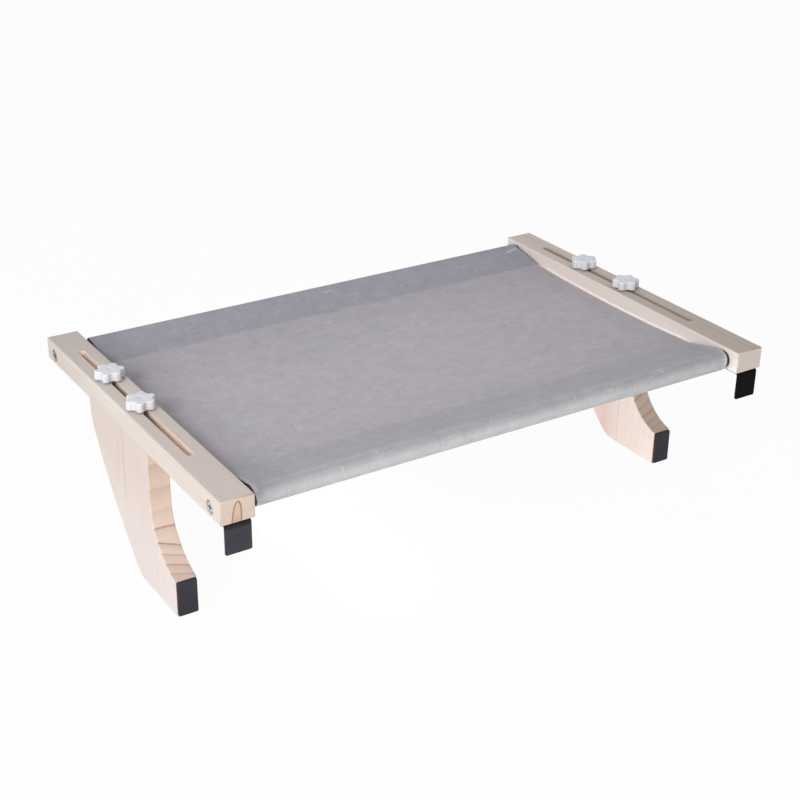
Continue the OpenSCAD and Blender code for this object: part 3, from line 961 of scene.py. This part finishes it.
def star(inset):
    """The knob's outline, drawn in by inset: lobes joined by hollows."""
    step = 2 * math.pi / LOBES
    lobe_at = KNOB_RADIUS - LOBE_RADIUS
    rise = lobe_at * math.sin(step / 2)
    hollow_at = lobe_at * math.cos(step / 2) + math.sqrt((2 * LOBE_RADIUS) ** 2 - rise**2)
    lean = math.atan2(hollow_at * math.sin(step / 2), hollow_at * math.cos(step / 2) - lobe_at)
    points = []
    for i in range(LOBES):
        turn = i * step
        mid = turn + step / 2
        lobe = lobe_at * Vector((math.cos(turn), math.sin(turn)))
        hollow = hollow_at * Vector((math.cos(mid), math.sin(mid)))
        points += arc(lobe, LOBE_RADIUS - inset, turn - lean, turn + lean, LOBE_STEPS)
        back = turn + math.pi
        points += arc(hollow, LOBE_RADIUS + inset, back + lean, back + step - lean, HOLLOW_STEPS)
    return points


def round_ring(radius, z):
    return [(*(radius * p.normalized()), z) for p in star(0.0)]


def star_ring(inset, z):
    return [(*p, z) for p in star(inset)]


def knob_rings(low_z, high_z, stud_top):
    """The knob's rings from inside its bore, down and out round its hub, to its top."""
    head_low = low_z + HUB_HEIGHT
    rings = [
        round_ring(KNOB_BORE, stud_top),
        round_ring(KNOB_BORE, low_z),
        round_ring(HUB_RADIUS - HUB_CHAMFER, low_z),
        round_ring(HUB_RADIUS, low_z + HUB_CHAMFER),
        round_ring(HUB_RADIUS, head_low),
    ]
    for i in range(BOTTOM_STEPS + 1):
        a = math.pi / 2 * i / BOTTOM_STEPS
        z = head_low + BOTTOM_ROUND * (1 - math.cos(a))
        rings.append(star_ring(BOTTOM_ROUND * (1 - math.sin(a)), z))
    for i in range(TOP_ROUND_STEPS + 1):
        a = math.pi / 2 * i / TOP_ROUND_STEPS
        z = high_z - CROWN - TOP_ROUND * (1 - math.sin(a))
        rings.append(star_ring(DRAFT + TOP_ROUND * (1 - math.cos(a)), z))
    return rings + [
        star_ring(DRAFT + TOP_ROUND + RIM_WIDTH, high_z - RIM_DROP * CROWN),
        round_ring(CROWN_RADIUS, high_z),
        round_ring(DIMPLE_RADIUS, high_z),
        round_ring(DIMPLE_FLOOR, high_z - DIMPLE_DEPTH),
    ]


def make_knob(side, end):
    corner = f"{side}_{end}"
    node = corner + "_knob"
    name = node + "_moulding"
    low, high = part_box(node)
    rings = knob_rings(low.z, high.z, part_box(corner + "_stud")[1].z)
    turn = Matrix.Rotation(math.radians(KNOB_TURN[corner]), 3, "Z")
    middle = Vector(((low.x + high.x) / 2, (low.y + high.y) / 2, 0))
    bm = bmesh.new()
    loft(bm, [[turn @ Vector(p) + middle for p in ring] for ring in rings])
    mesh = solid_mesh(bm, name)
    made = piece_of(mesh, name, node, materials["plastic"], KNOB_SHARP)
    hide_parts(node)


# Studs
STUD_PITCH = 1.0 * MM
STUD_DEPTH = 0.55 * MM
# The share of half a pitch that is flat at the crest, and again at the root
STUD_FLAT = 0.1
# The length of each tapered end, and what the radius loses there
STUD_LEAD = 0.8 * MM
STUD_TAPER = 0.5 * MM
STUD_SIDES = 18
TURN_STEPS = 6
STUD_SHARP = 60.0


def make_stud(side, end):
    """A stud with a rolled thread."""
    node = f"{side}_{end}_stud"
    name = node + "_thread"
    low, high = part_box(node)
    middle = (low + high) / 2
    radius = (high.x - low.x) / 2
    count = int(round((high.z - low.z) / STUD_PITCH * TURN_STEPS))
    rings = []
    for i in range(count + 1):
        z = low.z + (high.z - low.z) * i / count
        tip = max(0.0, 1 - min(z - low.z, high.z - z) / STUD_LEAD)
        ring = []
        for k in range(STUD_SIDES):
            a = 2 * math.pi * k / STUD_SIDES
            wave = abs(2 * ((z / STUD_PITCH - k / STUD_SIDES) % 1.0) - 1)
            flank = min(1.0, max(0.0, (wave - STUD_FLAT) / (1 - 2 * STUD_FLAT)))
            r = radius - STUD_DEPTH * flank - STUD_TAPER * tip
            ring.append((middle.x + r * math.cos(a), middle.y + r * math.sin(a), z))
        rings.append(ring)
    bm = bmesh.new()
    loft(bm, rings)
    made = piece_of(solid_mesh(bm, name), name, node, materials["zinc"], STUD_SHARP)
    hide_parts(node)


for side, end in CORNERS:
    make_knob(side, end)
    make_stud(side, end)


# The sling's path
CLOTH = 1.0 * MM
ROD_GAP = 0.5 * MM
SEAM_REACH = 45 * MM
SEAM_FLAP = 9 * MM
LAYER_GAP = 0.15 * MM
SAG = 3.2 * MM
ROD_LOW, ROD_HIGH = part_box("front_rod")
ROD_R = (ROD_HIGH.z - ROD_LOW.z) / 2
ROD_Z = (ROD_HIGH.z + ROD_LOW.z) / 2
FRONT_Y = (ROD_HIGH.y + ROD_LOW.y) / 2
REAR_Y = sum(corner.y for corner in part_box("rear_rod")) / 2
MID_Y = (FRONT_Y + REAR_Y) / 2
SEAM_HALF = (REAR_Y - FRONT_Y) / 2 - SEAM_REACH
WRAP = ROD_R + ROD_GAP + CLOTH / 2
# How far from the seam each sleeve's painted shade is in full
FRONT_BLEND = 11 * MM
REAR_BLEND = 3.5 * MM
FLAP_STEPS = 4
UNDER_STEPS = 11
WRAP_STEPS = 24
TOP_STEPS = 14
PANEL_STEPS = 34


def ease(t):
    t = min(1.0, max(0.0, t))
    return t * t * (3 - 2 * t)


def panel_z(y):
    """Height of the cloth's middle between the seams, y from the front rod."""
    t = (y - SEAM_REACH) / SEAM_HALF - 1
    return CLOTH / 2 - SAG * (1 - t * t)


def front_half():
    """Half of the cloth's path, as (y, z) from the front rod: the flap under the seam, the sleeve's
    underside, round the rod, the sleeve's top, and the panel as far as the middle."""
    seam = Vector((SEAM_REACH, CLOTH / 2))
    touch = math.atan2(seam.y, seam.x) + math.acos(WRAP / seam.length)
    layer = Vector((0, CLOTH + LAYER_GAP))
    low = WRAP * Vector((math.cos(touch), -math.sin(touch)))
    high = WRAP * Vector((math.cos(touch), math.sin(touch)))
    path = []
    for i in range(FLAP_STEPS + 1):
        y = SEAM_REACH + SEAM_FLAP * (1 - i / FLAP_STEPS)
        path.append(Vector((y, panel_z(y))) - layer)
    path += [(seam - layer).lerp(low, i / UNDER_STEPS) for i in range(1, UNDER_STEPS)]
    turn = 2 * math.pi - 2 * touch
    for i in range(WRAP_STEPS + 1):
        a = -touch - turn * i / WRAP_STEPS
        path.append(WRAP * Vector((math.cos(a), math.sin(a))))
    path += [high.lerp(seam, i / TOP_STEPS) for i in range(1, TOP_STEPS + 1)]
    for i in range(1, PANEL_STEPS + 1):
        y = SEAM_REACH + SEAM_HALF * i / PANEL_STEPS
        path.append(Vector((y, panel_z(y))))
    return path


class Path:
    """The whole cloth's path across the rods, with its lengths and outward directions."""

    def __init__(self):
        front = [Vector((FRONT_Y + p.x, ROD_Z + p.y)) for p in front_half()]
        rear = [Vector((2 * MID_Y - p.x, p.y)) for p in front[:-1]]
        self.points = front + rear[::-1]
        self.lengths = [0.0]
        for a, b in zip(self.points, self.points[1:]):
            self.lengths.append(self.lengths[-1] + (b - a).length)
        self.total = self.lengths[-1]
        last = len(self.points) - 1
        self.outward = []
        for i in range(last + 1):
            along = self.points[min(last, i + 1)] - self.points[max(0, i - 1)]
            self.outward.append(Vector((-along.y, along.x)).normalized())
        self.seam_at = self.lengths[len(front) - 1 - PANEL_STEPS]

    def at(self, length):
        """The point and the outward direction at a length along the path."""
        i = 0
        while i < len(self.lengths) - 2 and self.lengths[i + 1] < length:
            i += 1
        t = (length - self.lengths[i]) / (self.lengths[i + 1] - self.lengths[i])
        point = self.points[i].lerp(self.points[i + 1], t)
        return point, self.outward[i].lerp(self.outward[i + 1], t).normalized()

    def sleeve(self, i):
        """Towards -1 on the front sleeve and 1 on the rear one, and 0 between the seams."""
        into_front = self.seam_at - self.lengths[i]
        into_rear = self.lengths[i] - self.total + self.seam_at
        return ease(into_rear / REAR_BLEND) - ease(into_front / FRONT_BLEND)


path = Path()


# The sling's relief
PUCKER_HEIGHT = 0.42 * MM
PUCKER_ON_PANEL = 16 * MM
PUCKER_ON_SLEEVE = 11 * MM
RELIEF_ON_SLEEVE = 30 * MM
FRONT_SALT, REAR_SALT = 3.0, 7.0
# Cells of noise to the metre, along X and Y
COARSE_RIPPLE = (34, 9)
FINE_RIPPLE = (95, 22)
SLOW_WAVE = (7, 9)
FINE_SHARE = 0.5
FINE_SALT = 5
SLOW_HEIGHT = 0.7 * MM
SLOW_FADE = 50 * MM
SLOW_SALT = 1.5
GROOVE_DEPTH = 0.28 * MM
GROOVE_REACH = 1.6 * MM


def waves(x, y, rate, salt, shift_y=0.0):
    return noise.noise(Vector((x * rate[X], y * rate[Y] + shift_y, salt)))


def ripple(x, y, salt):
    fine = waves(x, y, FINE_RIPPLE, salt + FINE_SALT)
    return waves(x, y, COARSE_RIPPLE, salt, shift_y=salt) + FINE_SHARE * fine


def bell(distance, reach):
    """1 at no distance, falling to nearly 0 at twice the reach."""
    return math.exp(-((distance / reach) ** 2))


def relief(x, y):
    """How far the cloth lies above its path: puckers and a groove at each seam, slow waves between."""
    from_seam = SEAM_HALF - abs(y - MID_Y)
    if from_seam < -RELIEF_ON_SLEEVE:
        return 0.0
    reach = PUCKER_ON_PANEL if from_seam > 0 else PUCKER_ON_SLEEVE
    salt = FRONT_SALT if y < MID_Y else REAR_SALT
    pucker = bell(from_seam, reach) * ripple(x, y, salt)
    slow = waves(x, y, SLOW_WAVE, SLOW_SALT) * ease(from_seam / SLOW_FADE)
    groove = bell(from_seam, GROOVE_REACH)
    return PUCKER_HEIGHT * pucker + SLOW_HEIGHT * slow - GROOVE_DEPTH * groove


# Sling
SELVEDGE = 3 * MM
SELVEDGE_CLOTH = 1.35 * MM
SELVEDGE_STEP = 1.6 * MM
# The cloth's very edge rounds off, and loses a share of its thickness
EDGE_ROUND = 1.2 * MM
EDGE_LOSS = 0.5
# Columns of points from each edge inward, in millimetres, and the even steps between
EDGE_COLUMNS = (0, 0.4, 0.8, 1.3, 1.9, 2.5, 3.0, 3.5, 4.2, 6, 9)
EVEN_STEPS = 134
SLING_SHIFT = 0.5 * MM
# The sleeves' ends are drawn in, and more so as the cloth turns from facing up to facing down
END_PULL = 1.6 * MM
PULL_REACH = 40 * MM
PULL_BLEND = 12 * MM
PULL_FROM, PULL_TO = 0.9, -0.5
SOFT_SHARP = 60.0


def thickness(x):
    """The cloth's thickness: its selvedges are a little thicker, and round off at the edge."""
    inward = SLING_X - abs(x)
    rim = ease((SELVEDGE + SELVEDGE_STEP / 2 - inward) / SELVEDGE_STEP)
    edge = 1 - EDGE_LOSS * (1 - ease(inward / EDGE_ROUND))
    return (CLOTH + (SELVEDGE_CLOTH - CLOTH) * rim) * edge


def columns():
    """The places of the cloth's points along X, close together at the selvedges."""
    edge = [-SLING_X + inward * MM for inward in EDGE_COLUMNS]
    first = edge[-1]
    between = [first - 2 * first * i / EVEN_STEPS for i in range(1, EVEN_STEPS)]
    return edge + between + [-x for x in reversed(edge)]


def spot(x, point, outward):
    """Where the cloth's middle lies. The sleeves' ends draw in at the front and below, and the whole
    cloth sits a little to the right between the rails."""
    lower = ease((PULL_FROM - outward.y) / (PULL_FROM - PULL_TO))
    near_end = ease((abs(x) - SLING_X + PULL_REACH) / PULL_REACH)
    on_sleeve = ease((abs(point.x - MID_Y) - SEAM_HALF) / PULL_BLEND)
    pull = END_PULL * lower * near_end * on_sleeve
    across = x - math.copysign(pull, x) + SLING_SHIFT
    return Vector((across, point.x, point.y + relief(x, point.x)))


def make_sling():
    name = "sling_canvas"
    xs = columns()
    bm = bmesh.new()
    threads = bm.loops.layers.uv.new("threads")
    sleeve = bm.verts.layers.float.new("sleeve")
    weights = bm.verts.layers.deform.verify()
    grid = []
    for j, point in enumerate(path.points):
        row = []
        for x in xs:
            vert = bm.verts.new(spot(x, point, path.outward[j]))
            vert[sleeve] = path.sleeve(j)
            vert[weights][0] = thickness(x) / SELVEDGE_CLOTH
            row.append(vert)
        grid.append(row)
    for j in range(len(grid) - 1):
        for i in range(len(xs) - 1):
            spots = ((j, i), (j, i + 1), (j + 1, i + 1), (j + 1, i))
            face = bm.faces.new([grid[row][column] for row, column in spots])
            for loop, (row, column) in zip(face.loops, spots):
                loop[threads].uv = (xs[column] + SLING_X, path.lengths[row])
    made = piece_of(to_mesh(bm, name), name, "frame", materials["canvas"], SOFT_SHARP)
    made.vertex_groups.new(name="layers")
    thick = made.modifiers.new("thickness", "SOLIDIFY")
    thick.thickness = SELVEDGE_CLOTH
    thick.vertex_group = "layers"
    thick.offset = 0.0
    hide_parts("sling")
    return made


# Sewing
STITCH = 3.3 * MM
STITCH_GAP = 0.55 * MM
STITCH_STEPS = 5
STITCH_SIDES = 6
STITCH_SINK = 0.06 * MM
# A stitch thins towards its ends, along the middle stretch of half a sine
STITCH_THIN = 0.35
SINE_START = 0.12
THREAD_R = 0.24 * MM
THREAD_ARCH = 0.18 * MM
TACK_R = 0.36 * MM
TACK_ARCH = 0.1 * MM
SEAM_MARGIN = 3 * MM
UNDER_MARGIN = 2 * MM


def cloth_face(x, length):
    """A point on the cloth's outer face, and the way out of it."""
    point, outward = path.at(length)
    out = Vector((0, outward.x, outward.y))
    return spot(x, point, outward) + out * thickness(x) / 2, out


def add_stitch(bm, start, end, arch, radius):
    """One stitch from start to end, each (x, length along the path), bowed a little off the cloth."""
    ahead = cloth_face(*end)[0] - cloth_face(*start)[0]
    turns = [2 * math.pi * k / STITCH_SIDES for k in range(STITCH_SIDES)]
    rings = []
    for step in range(STITCH_STEPS + 1):
        t = step / STITCH_STEPS
        x = start[0] + (end[0] - start[0]) * t
        length = start[1] + (end[1] - start[1]) * t
        place, out = cloth_face(x, length)
        across = ahead.cross(out).normalized()
        centre = place + out * (arch * math.sin(math.pi * t) - STITCH_SINK)
        swell = math.sin(math.pi * (SINE_START + (1 - 2 * SINE_START) * t))
        r = radius * (STITCH_THIN + (1 - STITCH_THIN) * swell)
        rings.append([centre + r * (math.cos(a) * across + math.sin(a) * out) for a in turns])
    loft(bm, rings)


def thread_piece(bm, name, material):
    return piece_of(solid_mesh(bm, name), name, "frame", material, SOFT_SHARP)


def make_seam(end):
    """The row of lock stitches that closes a sleeve, seen above the cloth and under the flap."""
    bm = bmesh.new()
    top = path.seam_at if end == "front" else path.total - path.seam_at
    under = SEAM_FLAP if end == "front" else path.total - SEAM_FLAP
    step = STITCH + STITCH_GAP
    count = int(2 * (SLING_X - SEAM_MARGIN) / step)
    for i in range(count):
        x = (i - count / 2) * step
        add_stitch(bm, (x, top), (x + STITCH, top), THREAD_ARCH, THREAD_R)
        half = x + step / 2
        if half + STITCH < SLING_X - UNDER_MARGIN:
            add_stitch(bm, (half, under), (half + STITCH, under), THREAD_ARCH, THREAD_R)
    return thread_piece(bm, end + "_seam_thread", materials["thread"])


def make_tack():
    """The pale zigzag tack near the right-hand end of the rear sleeve."""
    bm = bmesh.new()
    start_x, end_x = 226 * MM, 242 * MM
    from_seam, climb = 35 * MM, 3.5 * MM
    swing = 1.7 * MM
    count = 7
    first = path.total - path.seam_at + from_seam

    def corner(i):
        t = i / count
        side = swing if i % 2 else -swing
        return (start_x + (end_x - start_x) * t, first + climb * t + side)

    for i in range(count):
        add_stitch(bm, corner(i), corner(i + 1), TACK_ARCH, TACK_R)
    return thread_piece(bm, "rear_tack_thread", materials["pale_thread"])


sling = make_sling()
sewing = [make_seam(end) for end in ENDS]
sewing.append(make_tack())


# Floor and light
FLOOR_Z = cad_box[0].z - 0.2 * MM
FLOOR_REACH = 6.0
FLOOR_GLOW = 0.95
SKY = 0.56


def seen_ray(g):
    """1 for a ray that the camera sees, straight or by a reflection."""
    ray = g.node("LightPath", {}).node.outputs
    mirrored = g.math("MAXIMUM", ray["Is Glossy Ray"], ray["Is Transmission Ray"])
    return g.math("MAXIMUM", ray["Is Camera Ray"], mirrored)


def floor_material():
    """Pale and matt, and nearly white to the camera, so that it keeps a faint shadow."""
    material = bpy.data.materials.new("pale_floor")
    material.use_nodes = True
    tree = material.node_tree
    tree.nodes.remove(tree.nodes["Principled BSDF"])
    g = Graph(tree)
    matt = g.node("BsdfDiffuse", {"Color": rgb(0.88, 0.88, 0.88)})
    glow = g.node("Emission", {"Color": WHITE, "Strength": 1.0})
    share = g.times(seen_ray(g), FLOOR_GLOW)
    blend = g.node("MixShader", {0: share, 1: matt, 2: glow})
    tree.links.new(blend, tree.nodes["Material Output"].inputs[0])
    return material


def make_floor():
    mesh = bpy.data.meshes.new("floor")
    signs = ((-1, -1), (1, -1), (1, 1), (-1, 1))
    corners = [(x * FLOOR_REACH, y * FLOOR_REACH, FLOOR_Z) for x, y in signs]
    mesh.from_pydata(corners, [], [(0, 1, 2, 3)])
    mesh.materials.append(floor_material())
    floor = bpy.data.objects.new("floor", mesh)
    scene.collection.objects.link(floor)


def make_world():
    world = bpy.data.worlds.new("world")
    scene.world = world
    world.use_nodes = True
    g = Graph(world.node_tree)
    back = world.node_tree.nodes["Background"]
    g.put(back.inputs["Color"], WHITE)
    g.put(back.inputs["Strength"], g.add(g.times(seen_ray(g), 1.0 - SKY), SKY))


def lamp(name, place, aim, size, power):
    """A soft rectangular lamp, in metres and watts."""
    data = bpy.data.lights.new(name, "AREA")
    data.shape = "RECTANGLE"
    data.size, data.size_y = size
    data.energy = power
    made = bpy.data.objects.new(name, data)
    scene.collection.objects.link(made)
    made.location = place
    made.rotation_mode = "QUATERNION"
    made.rotation_quaternion = (Vector(aim) - Vector(place)).to_track_quat("-Z", "Y")
    made.visible_camera = False


def make_lamps():
    lamp("low_softbox", place=(-4.6, -3.1, 0.75), aim=(0, 0.17, -0.04), size=(2.8, 1.6), power=95.0)
    lamp("side_softbox", place=(-1.6, -0.75, 1.05), aim=(-0.05, 0.17, 0), size=(0.6, 0.6), power=18.5)
    lamp("under_fill", place=(-0.15, 0.19, -0.10), aim=(0.25, 0.19, -0.09), size=(0.3, 0.06), power=0.46)
    lamp("low_strip", place=(-0.2, -0.8, -0.11), aim=(0, 0.05, 0), size=(1.0, 0.05), power=1.8)


make_floor()
make_world()
make_lamps()
scene.view_settings.view_transform = "Standard"
